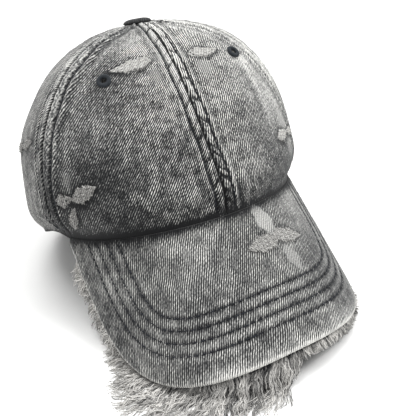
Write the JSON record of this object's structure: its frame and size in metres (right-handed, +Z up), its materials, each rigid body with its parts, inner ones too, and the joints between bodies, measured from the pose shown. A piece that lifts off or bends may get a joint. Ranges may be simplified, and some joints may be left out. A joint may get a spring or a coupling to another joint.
{
  "type": "denim baseball cap",
  "caption": "Six-panel washed denim baseball cap with a covered top button, four stitched eyelets, a curved visor with a frayed edge and a strap across the back arch.",
  "frame": {"origin": "middle of the plan's bounding box, on the floor", "axes": "front of the visor towards -Y, +X to the right as seen from the front, +Z up"},
  "size_m": [0.1762, 0.2562, 0.1528],
  "materials": {
    "crown_front": "stone-washed grey-black denim twill",
    "crown_rear": "stone-washed grey-black denim twill, lighter",
    "visor": "stone-washed grey-black denim twill over a stiff board",
    "fringe": "frayed cotton threads",
    "button": "dark cotton cover",
    "eyelets": "satin-stitched dark thread",
    "sweatband": "plain dark cotton twill",
    "strap": "stone-washed grey denim",
    "clasp": "plain satin metal loop"
  },
  "bodies": {
    "root": {"panel_front_left": "crown_front", "panel_front_right": "crown_front", "panel_side_left": "crown_rear", "panel_side_right": "crown_rear", "panel_back_left": "crown_rear", "panel_back_right": "crown_rear", "eyelet_front_left": "eyelets", "eyelet_front_right": "eyelets", "eyelet_back_left": "eyelets", "eyelet_back_right": "eyelets", "top_button": "button", "visor": "visor", "visor_fringe": "fringe", "sweatband": "sweatband", "back_strap": "strap", "strap_clasp": "clasp"}
  },
  "joints": []
}
